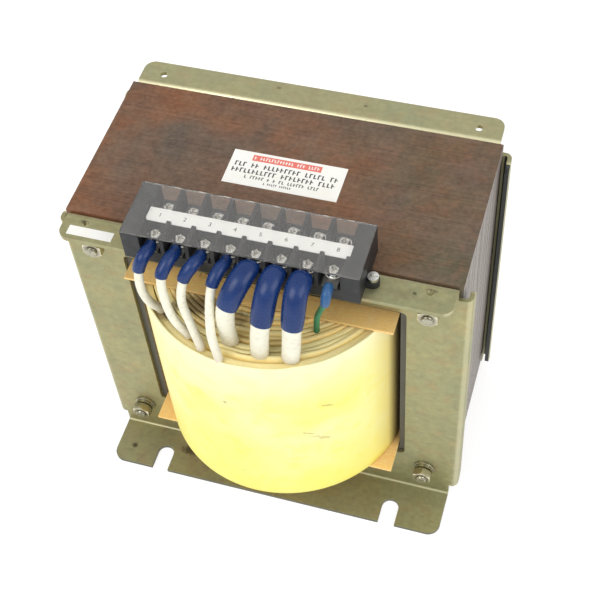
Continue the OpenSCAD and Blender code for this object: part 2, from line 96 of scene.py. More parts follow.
# closed part from rings of points, (rings, points, 3), with a fan at each end
def cappedPart(rings):
    count, around = rings.shape[:2]
    verts = np.concatenate([rings.reshape(-1, 3), rings[0].mean(0)[None], rings[-1].mean(0)[None]])
    here = np.arange(around)
    beside = (here + 1) % around
    lastRing = (count - 1) * around
    first = np.stack([np.full(around, count * around), beside, here], -1)
    last = np.stack([np.full(around, count * around + 1), lastRing + here, lastRing + beside], -1)
    return faceOutward(verts, ringFaces(count, around, False), np.concatenate([first, last]))


# closed part from rings that come back to the first one
def loopPart(rings):
    count, around = rings.shape[:2]
    return faceOutward(rings.reshape(-1, 3), ringFaces(count, around, True), np.zeros((0, 3), int))


# corners of a flat rectangle
def rectangle(left, low, right, high):
    return np.array([[left, low], [right, low], [right, high], [left, high]], float)


# flat box part on a rectangle, from a height upwards
def slabPart(left, low, right, high, z, thick):
    flat = rectangle(left, low, right, high)
    return cappedPart(np.stack([np.insert(flat, 2, height, axis=1) for height in (z, z + thick)]))


# angles of a full turn
def fullTurn(sides):
    return np.linspace(0, 2 * np.pi, sides, endpoint=False)


# points about Z from radius, angle and height
def aboutZ(radius, turn, z):
    return np.stack(np.broadcast_arrays(radius * np.cos(turn), radius * np.sin(turn), z), -1)


# rings of a turned profile, radius and height, about Z
def turnedRings(profile, sides):
    profile = np.array(profile, float)
    return aboutZ(profile[:, :1], fullTurn(sides), profile[:, 1:])


# smooth curve through points: on each stretch a cubic whose slope at a point is half the step
# between its two neighbours
def smoothPath(points, steps):
    p = np.concatenate([points[:1], points, points[-1:]])
    t = (np.arange(steps) / steps)[None, :, None]
    p0, p1, p2, p3 = (p[k:len(p) - 3 + k][:, None] for k in range(4))
    curve = p1 + t / 2 * (p2 - p0 + t * (2 * p0 - 5 * p1 + 4 * p2 - p3 + t * (3 * p1 - p0 - 3 * p2 + p3)))
    return np.concatenate([curve.reshape(-1, 3), points[-1:]])


# rings round a path: a circle of the radius at each point, square to the path, and flattened
# across by the share in flat
def tubeRings(path, radius, sides, flat):
    ahead = np.gradient(path, axis=0)
    ahead /= np.linalg.norm(ahead, axis=1)[:, None]
    across = np.array([1.0, 0, 0]) - ahead * ahead[:, :1]
    across /= np.linalg.norm(across, axis=1)[:, None]
    third = np.cross(ahead, across)
    turn = fullTurn(sides)[None, :, None]
    size = np.broadcast_to(radius, len(path))[:, None, None]
    return path[:, None] + size * (np.cos(turn) * across[:, None] + flat * np.sin(turn) * third[:, None])


# a new object in the scene
def placeObject(name, data):
    made = bpy.data.objects.new(name, data)
    scene.collection.objects.link(made)
    return made


# one mesh object from closed parts, with its place in its mesh
def addPiece(name, parts, material, replaced=(), sharpAngle=35, tones=None):
    offsets = np.cumsum([0] + [len(p[0]) for p in parts[:-1]])
    verts = np.concatenate([p[0] for p in parts]) * mm
    faces = []
    for offset, (_, quads, tris) in zip(offsets, parts):
        faces += (quads + offset).tolist() + (tris + offset).tolist()
    mesh = bpy.data.meshes.new(name)
    mesh.from_pydata(verts.tolist(), [], faces)
    mesh.polygons.foreach_set("use_smooth", np.ones(len(mesh.polygons), bool))
    mesh.set_sharp_from_angle(angle=math.radians(sharpAngle))
    if tones is not None:  # one number for each part, or for each point
        spread = [np.broadcast_to(t, len(p[0])) for t, p in zip(tones, parts)]
        mesh.attributes.new("tone", "FLOAT", "POINT").data.foreach_set(
            "value", np.concatenate(spread).astype(np.float32))
    mesh.materials.append(material)
    piece = placeObject(name, mesh)
    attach(piece, "root")
    if replaced:
        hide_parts(*replaced)
    return piece


# Shader helpers

white = (1.0, 1.0, 1.0, 1.0)
evenly = (1.0, 1.0, 1.0)  # stretch of a grain with no direction


# links a socket, or sets the constant; a colour is red, green and blue
def feed(value, socket):
    if isinstance(value, bpy.types.NodeSocket):
        socket.id_data.links.new(value, socket)
    elif socket.type == "RGBA" and len(value) == 3:
        socket.default_value = (*value, 1.0)
    else:
        socket.default_value = value


# a new node, in the given tree or in the one that its first link belongs to
def addNode(kind, inputs, tree=None, **settings):
    links = (value for value in inputs.values() if isinstance(value, bpy.types.NodeSocket))
    node = (tree or next(links).id_data).nodes.new(kind)
    for key, value in settings.items():
        setattr(node, key, value)
    for key, value in inputs.items():
        feed(value, node.inputs[key])
    return node


# inputs 0, 6 and 7 of a Mix node are its factor and its two colours, and output 2 is the colour
def mixColour(factor, first, second, blend="MIX"):
    node = addNode("ShaderNodeMix", {0: factor, 6: first, 7: second}, data_type="RGBA", blend_type=blend)
    return node.outputs[2]


def calc(operation, first, second=0.0, clamp=False):
    return addNode("ShaderNodeMath", {0: first, 1: second}, operation=operation, use_clamp=clamp).outputs[0]


def times(first, second):
    return calc("MULTIPLY", first, second)


def vectorCalc(operation, first, second=(0, 0, 0)):
    return addNode("ShaderNodeVectorMath", {0: first, 1: second}, operation=operation).outputs


def remap(value, low, high, toLow=0.0, toHigh=1.0):
    return addNode("ShaderNodeMapRange", {"Value": value, "From Min": low, "From Max": high,
                                          "To Min": toLow, "To Max": toHigh}).outputs["Result"]


# how far a coordinate has gone from start to end, both in millimetres
def along(coordinate, start, end, toLow=0.0, toHigh=1.0):
    return remap(coordinate, start * mm, end * mm, toLow, toHigh)


def noise(vector, scale, **inputs):
    return addNode("ShaderNodeTexNoise", {"Vector": vector, "Scale": scale, **inputs}).outputs["Fac"]


def split(vector):
    return addNode("ShaderNodeSeparateXYZ", {0: vector}).outputs


# the way that a face looks
def faceWay(coords):
    return split(addNode("ShaderNodeNewGeometry", {}, coords.id_data).outputs["Normal"])


# the number that a piece's points carry
def toneOf(coords):
    return addNode("ShaderNodeAttribute", {}, coords.id_data, attribute_name="tone").outputs["Fac"]


# a shader group that reads a Vector and the inputs named, and puts out what draw gives
def newGroup(name, draw, **inputs):
    tree = bpy.data.node_groups.new(name, "ShaderNodeTree")
    kinds = {1: "NodeSocketFloat", 3: "NodeSocketVector", 4: "NodeSocketColor"}  # by the count of numbers
    for label, value in {"Vector": (0, 0, 0), **inputs}.items():
        socket = tree.interface.new_socket(label, in_out="INPUT", socket_type=kinds[np.size(value)])
        socket.default_value = value
    results = draw(tree.nodes.new("NodeGroupInput").outputs)
    for label, value in results.items():
        kind = kinds[np.size(value.default_value)]
        tree.interface.new_socket(label, in_out="OUTPUT", socket_type=kind)
    ends = tree.nodes.new("NodeGroupOutput").inputs
    for label, value in results.items():
        feed(value, ends[label])
    return tree


def useGroup(group, coords, inputs):
    return addNode("ShaderNodeGroup", {"Vector": coords, **inputs}, node_tree=group).outputs


# three colours in soft patches, the third one in smaller spots
def drawPatches(given):
    middle, finer, spotStart, spotFull = 0.5, 3.7, 0.5, 0.72
    wide = noise(given["Vector"], given["Scale"], Detail=3.0, Distortion=0.4)
    mask = remap(wide, calc("SUBTRACT", middle, given["Contrast"]), calc("ADD", middle, given["Contrast"]))
    small = noise(given["Vector"], times(given["Scale"], finer), Detail=4.0)
    spots = times(remap(small, spotStart, spotFull), given["Share"])
    base = mixColour(mask, given["First"], given["Second"])
    return {"Colour": mixColour(spots, base, given["Third"]), "Mask": mask}


# grain drawn out along one direction: noise on coordinates squeezed by Stretch
def drawGrain(given):
    lowest, highest = 0.25, 0.75
    squeezed = vectorCalc("MULTIPLY", given["Vector"], given["Stretch"])[0]
    strands = noise(squeezed, given["Scale"], Detail=5.0, Roughness=0.6)
    return {"Value": remap(strands, lowest, highest)}


# scattered ragged marks: cells of which a share holds one mark of the given size
def drawScuffs(given):
    finer, middle, raggedness, solid = 6.0, 0.5, 0.5, 0.5
    ragged = noise(given["Vector"], times(given["Scale"], finer), Detail=4.0)
    cells = addNode("ShaderNodeTexVoronoi", {"Vector": given["Vector"], "Scale": given["Scale"]}).outputs
    lone = addNode("ShaderNodeSeparateColor", {"Color": cells["Color"]}).outputs["Red"]
    chosen = calc("LESS_THAN", lone, given["Share"])
    reach = calc("ADD", cells["Distance"], times(calc("SUBTRACT", ragged, middle), raggedness))
    return {"Mask": times(remap(reach, given["Size"], times(given["Size"], solid)), chosen)}


# fine dust on faces that look up, broken by noise
def drawDust(given):
    bare, covered, steep, level = 0.4, 0.75, 0.3, 0.9
    film = noise(given["Vector"], given["Scale"], Detail=6.0, Roughness=0.7)
    upward = remap(faceWay(given["Vector"])["Z"], steep, level)
    return {"Mask": times(times(remap(film, bare, covered), upward), given["Amount"])}


# one ragged stain: distance from Place, measured in Size along each axis, plus noise
def drawStain(given):
    middle, swing, rim, full = 0.5, 2.0, 1.0, 0.45
    away = vectorCalc("SUBTRACT", given["Vector"], given["Place"])[0]
    far = vectorCalc("LENGTH", vectorCalc("DIVIDE", away, given["Size"])[0])["Value"]
    edge = noise(given["Vector"], given["Scale"], Detail=5.0, Roughness=0.65)
    rough = times(calc("SUBTRACT", edge, middle), given["Ragged"])
    return {"Mask": remap(calc("ADD", far, times(rough, swing)), rim, full)}


patchTint = newGroup("patchTint", drawPatches, Scale=30.0, Contrast=0.15, First=white, Second=white,
                     Third=white, Share=0.4)
drawnGrain = newGroup("drawnGrain", drawGrain, Stretch=evenly, Scale=100.0)
scuffs = newGroup("scuffs", drawScuffs, Scale=40.0, Size=0.2, Share=0.3)
settledDust = newGroup("settledDust", drawDust, Scale=90.0, Amount=0.3)
stain = newGroup("stain", drawStain, Place=(0, 0, 0), Size=(1, 1, 1), Ragged=0.8, Scale=420.0)


# a new material: the sockets that its look names, then those that draw gives from the object's
# own coordinates
def newMaterial(name, look, draw=None):
    material = bpy.data.materials.new(name)
    material.use_nodes = True
    tree = material.node_tree
    coords = addNode("ShaderNodeTexCoord", {}, tree).outputs["Object"]
    drawn = draw(coords, look) if draw else {}
    for key, value in {**look.get("sockets", {}), **drawn}.items():
        feed(value, tree.nodes["Principled BSDF"].inputs[key])
    return material


# the normal that a height gives; relief is a distance in millimetres and a strength
def lifted(height, look):
    deep, strength = look["relief"]
    bump = addNode("ShaderNodeBump", {"Height": height, "Distance": deep * mm, "Strength": strength})
    return bump.outputs["Normal"]


# roughness that follows a value between the look's two limits
def roughened(value, look):
    return remap(value, 0, 1, *look["rough"])


def patchColour(coords, settings):
    return useGroup(patchTint, coords, settings)["Colour"]


def grainValue(coords, settings):
    return useGroup(drawnGrain, coords, settings)["Value"]


# lays stains over a colour; each spot is a place and a size in millimetres and a strength, and
# lean turns the spots about Y
def addStains(coords, base, look):
    lean = math.radians(look["lean"])
    turned = addNode("ShaderNodeMapping", {"Vector": coords, "Rotation": (0.0, lean, 0.0)}).outputs[0]
    for place, size, strength in look["spots"]:
        middle = Matrix.Rotation(lean, 3, "Y") @ Vector(place)
        mask = useGroup(stain, turned, {"Place": middle * mm, "Size": Vector(size) * mm,
                                        "Ragged": look["ragged"], "Scale": look["scale"]})
        base = mixColour(times(mask["Mask"], strength), base, look["tint"])
    return base


# Materials

# settings of patches: scale, contrast, three colours and the third one's share
def patches(scale, contrast, first, second, third, share):
    return {"Scale": scale, "Contrast": contrast, "First": first, "Second": second, "Third": third,
            "Share": share}


# settings of a grain
def grain(scale, *stretch):
    return {"Scale": scale, "Stretch": stretch or evenly}


# lengths and places are in millimetres
zincLook = {
    "sockets": {"Metallic": 0.7},
    "film": patches(34.0, 0.16, (0.39, 0.362, 0.185), (0.336, 0.340, 0.192), (0.405, 0.32, 0.165), 0.7),
    "grain": grain(700.0, 0.2, 1.0, 0.35), "grainOver": 0.07, "speckle": grain(330.0), "speckleOver": 0.16,
    # the pale tone is for the painted highlights on the bends and the painted reflection on the rear frame
    "paintedLightTone": (0.85, 0.80, 0.52), "rearLightY": (0.0, 60.0), "rearPaintedLight": 0.12,
    "grime": patches(60.0, 0.12, (0.33, 0.27, 0.15), (0.34, 0.33, 0.17), (0.17, 0.13, 0.12), 0.8),
    "footZ": (12.0, 4.0), "footX": (-100.0, 100.0), "footGrime": (0.5, 0.08),
    "scuffs": {"Scale": 45.0, "Size": 0.16, "Share": 0.08}, "scuffOver": 0.35,
    "stains": {"tint": (0.07, 0.05, 0.03), "ragged": 0.8, "scale": 420.0, "lean": 0.0, "spots": (
        ((-92.2, -67.6, 2.3), (2.4, 2.0, 4.0), 0.9), ((-57.0, -62.5, 2.3), (7.5, 3.6, 4.0), 0.8),
        ((-89.4, -53.3, 201.8), (3.2, 1.5, 3.0), 0.75), ((88.2, -53.1, 201.8), (3.4, 1.6, 3.0), 0.7),
        ((80.6, -56.4, 201.8), (1.3, 1.0, 3.0), 0.7), ((-22.8, 60.8, 201.8), (1.8, 1.3, 3.0), 0.5),
        ((26.5, 58.2, 201.8), (1.8, 1.3, 3.0), 0.5), ((75.0, -58.0, 201.8), (9.0, 4.0, 3.0), 0.18))},
    # painted highlight settings for the bends
    "bendMask": (0.22, 0.45), "bendHighlightZ": (10.0, 50.0), "bendHighlight": (0.35, 0.75), "cornerHighlight": 0.3,
    "cut": (0.07, 0.075, 0.07), "sideFold": 103.6, "frontward": -0.5, "sheet": 2.4, "level": 0.8,
    "footCutAndShade": 0.75, "rough": (0.40, 0.50), "speckleRough": 0.12, "bendSmooth": 0.2, "relief": (0.02, 0.5)}


# yellow-passivated zinc on rolled sheet: drifting straw, green and tan film over a fine grain,
# with painted highlights along the bends and a painted reflection that lightens the rear frame,
# dark on the front edges of the rear side folds and the foot's low edges (cut steel and painted
# shade), and browner on the foot
def drawZincPlate(coords, look):
    place, facing = split(coords), faceWay(coords)
    film = useGroup(patchTint, coords, look["film"])
    lines = grainValue(coords, look["grain"])
    speckle = grainValue(coords, look["speckle"])
    tint = mixColour(look["grainOver"], film["Colour"], lines, "OVERLAY")
    tint = mixColour(look["speckleOver"], tint, speckle, "OVERLAY")
    # painted reflection: the rear frame grows lighter towards the back
    tint = mixColour(along(place["Y"], *look["rearLightY"], 0.0, look["rearPaintedLight"]), tint, look["paintedLightTone"])
    low = times(along(place["Z"], *look["footZ"]), along(place["X"], *look["footX"], *look["footGrime"]))
    tint = mixColour(low, tint, patchColour(coords, look["grime"]))
    marks = useGroup(scuffs, coords, look["scuffs"])["Mask"]
    tint = mixColour(times(marks, look["scuffOver"]), tint, look["stains"]["tint"])
    tint = addStains(coords, tint, look["stains"])

    # a bend looks along two axes at once
    def bendMask(first, second):
        both = calc("ABSOLUTE", times(facing[first], facing[second]))
        return remap(both, *look["bendMask"])

    # painted highlight along the level bends, weaker low down at the foot's fold, and on the upright side
    # folds
    bendHighlightByHeight = along(place["Z"], *look["bendHighlightZ"], *look["bendHighlight"])
    corner = times(bendMask("X", "Y"), look["cornerHighlight"])
    paintedBendHighlight = calc("ADD", times(bendMask("Y", "Z"), bendHighlightByHeight), corner, True)
    tint = mixColour(paintedBendHighlight, tint, look["paintedLightTone"])
    # darkened edges, partly cut steel and partly painted shade: the front edges of the rear side folds stand
    # for their shaded inner face beside the core, and the foot's low edges are darkened too
    aside = calc("GREATER_THAN", calc("ABSOLUTE", place["X"]), look["sideFold"] * mm)
    frontward = calc("LESS_THAN", facing["Y"], look["frontward"])
    rearFrame = calc("GREATER_THAN", place["Y"], 0.0)
    side = times(times(aside, frontward), rearFrame)
    footEdge = times(calc("LESS_THAN", place["Z"], look["sheet"] * mm),
                     calc("LESS_THAN", facing["Z"], look["level"]))
    cut = calc("MAXIMUM", side, times(footEdge, look["footCutAndShade"]))
    rough = calc("ADD", roughened(film["Mask"], look), times(speckle, look["speckleRough"]))
    return {"Base Color": mixColour(cut, tint, look["cut"]), "Normal": lifted(lines, look),
            "Roughness": calc("SUBTRACT", rough, times(paintedBendHighlight, look["bendSmooth"]))}


redVarnish, greyVarnish = (0.215, 0.090, 0.042), (0.125, 0.090, 0.066)
coreLook = {
    "sockets": {"Specular IOR Level": 0.3},
    "film": patches(22.0, 0.16, redVarnish, greyVarnish, (0.045, 0.035, 0.030), 0.3),
    "worn": patches(40.0, 0.12, greyVarnish, (0.095, 0.085, 0.045), redVarnish, 0.45),
    "driftX": (-10.0, 110.0), "driftShare": 0.8, "squareOn": (0.6, 0.9),
    # the side tone is barer steel with a painted sheen, darkening with painted shade towards the back; the
    # end faces' tone is painted shade
    "side": (0.29, 0.252, 0.222), "sideShadeBack": (0.17, 0.145, 0.13), "sideShadeY": (-10.0, 50.0),
    "sideShadeShare": 0.6, "face": (0.10, 0.096, 0.075), "faceDeep": (3.0, 6.0), "sheetTone": 0.22,
    "streaks": grain(700.0, 0.2, 1.0, 0.1), "streakOver": 0.12, "speckle": grain(420.0), "speckleOver": 0.3,
    "dust": {"Scale": 70.0, "Amount": 0.22}, "dustTint": (0.30, 0.24, 0.16),
    "rough": (0.36, 0.56), "relief": (0.06, 0.7)}


# brown varnish on the edges of the laminations: each sheet has its own tone, and the film
# goes from red-brown on the left to grey-purple on the right; the sides are lighter grey, barer
# steel with a painted sheen, with painted shade towards the back, and the end faces below the
# top are darkened with painted shade
def drawCoreVarnish(coords, look):
    place, facing = split(coords), faceWay(coords)
    film = patchColour(coords, look["film"])
    worn = patchColour(coords, look["worn"])
    drift = times(along(place["X"], *look["driftX"]), look["driftShare"])
    tint = mixColour(drift, film, worn)
    # sides: lighter grey, barer steel with a painted sheen, and painted shade towards the rear frame
    sideways = remap(calc("ABSOLUTE", facing["X"]), *look["squareOn"])
    shade = along(place["Y"], *look["sideShadeY"], 0.0, look["sideShadeShare"])
    tint = mixColour(sideways, tint, mixColour(shade, look["side"], look["sideShadeBack"]))
    tint = mixColour(look["sheetTone"], tint, toneOf(coords), "SOFT_LIGHT")
    streaks = grainValue(coords, look["streaks"])
    speckle = grainValue(coords, look["speckle"])
    tint = mixColour(look["streakOver"], tint, streaks, "OVERLAY")
    tint = mixColour(look["speckleOver"], tint, speckle, "OVERLAY")
    # painted shade: the end faces are darkened below the top, standing for the shade in the frame window and
    # under the block
    below = along(place["Z"], *(topZ - deep for deep in look["faceDeep"]))
    endShadeMask = times(remap(calc("ABSOLUTE", facing["Y"]), *look["squareOn"]), below)
    tint = mixColour(endShadeMask, tint, look["face"])
    dust = useGroup(settledDust, coords, look["dust"])["Mask"]
    return {"Base Color": mixColour(dust, tint, look["dustTint"]), "Roughness": roughened(streaks, look),
            "Normal": lifted(streaks, look)}


amberPaper = (0.97, 0.84, 0.11)
wrapLook = {
    "cloud": patches(26.0, 0.14, (0.98, 0.90, 0.25), (0.98, 0.93, 0.40), amberPaper, 0.5),
    "rim": (0.98, 0.95, 0.66), "rimDeep": 38.0, "rimShare": 0.65, "low": amberPaper,
    # the edge tone is partly painted shade, and the shade tone is painted shade in the gap at the right
    "lowHigh": 60.0, "lowShare": 0.75, "edge": (0.80, 0.52, 0.18), "rightX": (61.0, 69.0), "rightShare": 0.5,
    "leftX": (-57.0, -67.0), "leftShare": 0.75, "shade": (0.11, 0.078, 0.036), "gapX": (66.4, 69.5),
    "gapShare": 0.9,
    "stains": {"tint": (0.26, 0.19, 0.07), "ragged": 1.1, "scale": 900.0, "lean": -30.0, "spots": (
        ((-8.0, -96.8, 132.3), (1.3, 6.0, 1.2), 0.8), ((42.3, -83.3, 128.8), (4.5, 6.0, 0.9), 0.55),
        ((32.7, -89.3, 106.5), (5.0, 6.0, 0.8), 0.5), ((40.3, -84.7, 98.1), (4.5, 6.0, 1.6), 0.4),
        ((36.0, -87.5, 102.0), (6.0, 7.0, 0.7), 0.4), ((-3.9, -97.2, 63.3), (1.8, 6.0, 0.8), 0.35))},
    "fibres": grain(420.0, 0.2, 0.2, 1.0), "rough": (0.42, 0.58), "relief": (0.03, 0.5)}


# cream insulating paper round the coil: faint clouding, paler at its upper rim, browner towards
# both sides where it goes in behind the plate (paper tone and painted shade), a dark band of
# painted shade in the gap at the right, and a few scuffs
def drawCoilPaper(coords, look):
    place = split(coords)
    tint = patchColour(coords, look["cloud"])
    upper = along(place["Z"], wrapHigh[2] - look["rimDeep"], wrapHigh[2], 0.0, look["rimShare"])
    lower = along(place["Z"], wrapLow[2] + look["lowHigh"], wrapLow[2], 0.0, look["lowShare"])
    # amber-brown towards both sides, partly painted shade where the coil turns in behind the plate
    aside = calc("ADD", along(place["X"], *look["rightX"], 0.0, look["rightShare"]),
                 along(place["X"], *look["leftX"], 0.0, look["leftShare"]))
    # painted shade: a dark band at the right, in the gap by the frame window
    gap = along(place["X"], *look["gapX"], 0.0, look["gapShare"])
    for mask, over in ((upper, "rim"), (lower, "low"), (aside, "edge"), (gap, "shade")):
        tint = mixColour(mask, tint, look[over])
    fibres = grainValue(coords, look["fibres"])
    return {"Base Color": addStains(coords, tint, look["stains"]), "Roughness": roughened(fibres, look),
            "Normal": lifted(fibres, look)}


# the stains are browned places at the left of the coil's top, behind the thin leads
layerLook = {
    "sockets": {"Roughness": 0.75}, "tones": ((1.0, 0.72, 0.27), (1.0, 0.91, 0.48)),
    "cloud": patches(60.0, 0.2, white, (0.94, 0.84, 0.66), (0.72, 0.50, 0.28), 0.5), "cloudOver": 0.15,
    "stains": {"tint": (0.10, 0.05, 0.02), "ragged": 0.6, "scale": 260.0, "lean": 0.0, "spots": (
        ((-30.0, -65.0, 169.0), (17.0, 9.0, 9.0), 0.8), ((-45.0, -73.0, 169.0), (10.0, 8.0, 9.0), 0.7),
        ((-8.0, -68.0, 169.0), (10.0, 7.0, 9.0), 0.6))},
    "fibres": grain(650.0, 1.0, 1.0, 0.15), "fibreOver": 0.14, "relief": (0.1, 0.8)}


# edges of the layer papers, each layer with its own tone from pale to brown
def drawLayerPaper(coords, look):
    tint = mixColour(toneOf(coords), *look["tones"])
    tint = mixColour(look["cloudOver"], tint, patchColour(coords, look["cloud"]), "MULTIPLY")
    tint = addStains(coords, tint, look["stains"])
    fibres = grainValue(coords, look["fibres"])
    tint = mixColour(look["fibreOver"], tint, fibres, "OVERLAY")
    return {"Base Color": tint, "Normal": lifted(fibres, look)}


# a plain finish: patches, or two tones that follow the grain; then, where its settings name them,
# tones from the piece's points, grain over the colour, dust, roughness that follows the grain or
# else the patches, and relief from the grain
def drawFinish(coords, look):
    lines = grainValue(coords, look["grain"]) if "grain" in look else None
    if "film" in look:
        film = useGroup(patchTint, coords, look["film"])
        tint = film["Colour"]
    else:
        tint = mixColour(lines, *look["grainTones"])
    if "tones" in look:
        tint = mixColour(look["filmShare"], mixColour(toneOf(coords), *look["tones"]), tint)
    if "grainOver" in look:
        tint = mixColour(look["grainOver"], tint, lines, "OVERLAY")
    if "dust" in look:
        tint = mixColour(useGroup(settledDust, coords, look["dust"])["Mask"], tint, look["dustTint"])
    drawn = {"Base Color": tint}
    if "rough" in look:
        drawn["Roughness"] = roughened(lines or film["Mask"], look)
    if "grain" in look:
        drawn["Normal"] = lifted(lines, look)
    return drawn


# zinc on nuts, bolts and washers with darker grey spots; the nuts carry painted light by ring,
# from their points' tone: a painted highlight on the front chamfer and painted shade at the bore
# and towards the back
fastenerLook = {"sockets": {"Metallic": 1.0}, "rough": (0.22, 0.36),
                "film": patches(220.0, 0.2, (0.52, 0.49, 0.37), (0.38, 0.37, 0.29), (0.20, 0.18, 0.13), 0.6)}
nutLightLook = {**fastenerLook, "tones": ((0.06, 0.05, 0.035), (0.95, 0.89, 0.66)), "filmShare": 0.35}

# nickel on the terminal screws
nickelLook = {"sockets": {"Metallic": 1.0}, "rough": (0.16, 0.30),
              "film": patches(300.0, 0.2, (0.80, 0.79, 0.76), (0.70, 0.69, 0.65), (0.55, 0.50, 0.42), 0.3)}

# varnished copper wire between the papers
wireLook = {"sockets": {"Roughness": 0.4}, "grain": grain(800.0, 0.3, 0.3, 1.0), "relief": (0.2, 0.8),
            "grainTones": ((0.26, 0.12, 0.04), (0.48, 0.25, 0.09))}

# orange-brown pressboard with short fibres
boardLook = {"sockets": {"Roughness": 0.62}, "grain": grain(1100.0, 0.35, 1.0, 1.0), "grainOver": 0.22,
             "relief": (0.04, 0.7),
             "film": patches(48.0, 0.22, (0.96, 0.65, 0.24), (0.88, 0.57, 0.21), (0.84, 0.60, 0.30), 0.5)}

# near-black moulding with a dull skin and grey dust
mouldingLook = {"sockets": {"Specular IOR Level": 0.3}, "grain": grain(1500.0), "rough": (0.34, 0.50),
                "relief": (0.02, 0.5), "dust": {"Scale": 160.0, "Amount": 0.18},
                "dustTint": (0.22, 0.21, 0.19),
                "film": patches(70.0, 0.2, (0.015, 0.016, 0.018), (0.025, 0.026, 0.029),
                                (0.055, 0.055, 0.055), 0.5)}


# soft vinyl, glossy, with bloom and small scratches
def vinyl(name, deep, pale):
    look = {"sockets": {"Specular IOR Level": 0.4}, "grain": grain(1300.0, 1.0, 1.0, 0.4),
            "rough": (0.16, 0.36), "relief": (0.03, 0.5),
            "film": patches(110.0, 0.22, deep, pale, pale, 0.4)}
    return newMaterial(name, look, drawFinish)


# flat skin in two close tones, for card, print and dull metal
def card(name, body, aged, **sockets):
    look = {"sockets": {"Roughness": 0.45, **sockets}, "grain": grain(2200.0), "relief": (0.01, 0.4),
            "film": patches(90.0, 0.25, body, aged, aged, 0.3)}
    return newMaterial(name, look, drawFinish)


coverLook = {"sockets": {"IOR": 1.49, "Base Color": (0.97, 0.96, 0.93), "Transmission Weight": 0.955},
             "scratches": grain(700.0, 0.05, 1.0, 1.0), "deep": (0.4, 1.0), "rough": (0.02, 0.12)}


# clear cover sheet with fine scratches
def drawClearCover(coords, look):
    scratches = grainValue(coords, look["scratches"])
    return {"Roughness": remap(scratches, *look["deep"], *look["rough"])}


# glass-fibre sleeving: crossed fine ribs on the tube's own UV map, browned at the coil
def drawSleeving(coords, look):
    plan = addNode("ShaderNodeUVMap", {}, coords.id_data, uv_map="tube").outputs[0]
    across, run = look["ribs"]
    waves = []
    for slant in (run, -run):
        turned = addNode("ShaderNodeMapping", {"Vector": plan, "Scale": (across, slant, 1.0)}).outputs[0]
        waves.append(addNode("ShaderNodeTexWave", {"Vector": turned, "Scale": 1.0},
                             bands_direction="DIAGONAL").outputs["Fac"])
    brown = times(remap(split(plan)["Y"], *look["browned"]), look["brownShare"])
    tint = mixColour(brown, patchColour(coords, look["film"]), look["aged"])
    return {"Base Color": tint, "Normal": lifted(times(*waves), look)}


def sleeving(name, fresh, aged):
    look = {"sockets": {"Roughness": 0.6}, "ribs": (14.0, 70.0), "browned": (0.72, 1.0), "brownShare": 0.55,
            "relief": (0.12, 0.5), "aged": aged, "film": patches(120.0, 0.25, fresh, fresh, aged, 0.35)}
    return newMaterial(name, look, drawSleeving)


zincPlate = newMaterial("zincPlate", zincLook, drawZincPlate)
coreVarnish = newMaterial("coreVarnish", coreLook, drawCoreVarnish)
coilPaper = newMaterial("coilPaper", wrapLook, drawCoilPaper)
layerPaper = newMaterial("layerPaper", layerLook, drawLayerPaper)
fastenerZinc = newMaterial("fastenerZinc", fastenerLook, drawFinish)
nutLitZinc = newMaterial("nutLitZinc", nutLightLook, drawFinish)
terminalNickel = newMaterial("terminalNickel", nickelLook, drawFinish)
windingWire = newMaterial("windingWire", wireLook, drawFinish)
pressboard = newMaterial("pressboard", boardLook, drawFinish)
blackMoulding = newMaterial("blackMoulding", mouldingLook, drawFinish)
clearCover = newMaterial("clearCover", coverLook, drawClearCover)
deepBlue = vinyl("deepBlueVinyl", (0.004, 0.025, 0.120), (0.010, 0.038, 0.155))
lightBlue = vinyl("lightBlueVinyl", (0.020, 0.085, 0.23), (0.04, 0.13, 0.29))
whiteSleeving = sleeving("whiteSleeving", (0.90, 0.88, 0.72), (0.62, 0.52, 0.38))
greenSleeving = sleeving("greenSleeving", (0.04, 0.26, 0.12), (0.03, 0.16, 0.07))
whiteCard = card("whiteCard", (0.93, 0.93, 0.90), (0.90, 0.88, 0.80))
# painted light: the marking strip's card glows a little, to stay white under the cover
glowingStripCard = card("glowingStripCard", (0.95, 0.95, 0.93), (0.92, 0.92, 0.90),
                 **{"Emission Color": white, "Emission Strength": 0.35})
dullTin = card("dullTin", (0.20, 0.20, 0.19), (0.12, 0.12, 0.11), Metallic=0.9)
# the terminal plates are near black, far darker than bare metal
nearBlackPlate = card("nearBlackPlate", (0.035, 0.035, 0.036), (0.06, 0.058, 0.055))
redPrint = card("redPrint", (0.80, 0.17, 0.13), (0.77, 0.20, 0.16))
greyPrint = card("greyPrint", (0.05, 0.05, 0.055), (0.11, 0.10, 0.10))
print("materials made:", len(bpy.data.materials))


# CAD nodes that stay

# each node's material, and the width of its soft edges in millimetres or 0 for none
nodeLooks = {"front_frame": (zincPlate, 0.35), "rear_frame": (zincPlate, 0.35),
             "front_washers": (fastenerZinc, 0.25), "rear_washers": (fastenerZinc, 0.25),
             "coil_former": (pressboard, 0), "top_cheek": (pressboard, 0.3),
             "bottom_cheek": (pressboard, 0.3), "terminal_block": (blackMoulding, 0.35),
             "terminal_plates": (nearBlackPlate, 0), "mounting_screws": (terminalNickel, 0),
             "marking_strip": (glowingStripCard, 0), "terminal_cover": (clearCover, 0.3), "ring_lugs": (dullTin, 0)}
softEdge = {"weld": 0.002, "segments": 2, "angle": 40, "coverGap": 0.04}


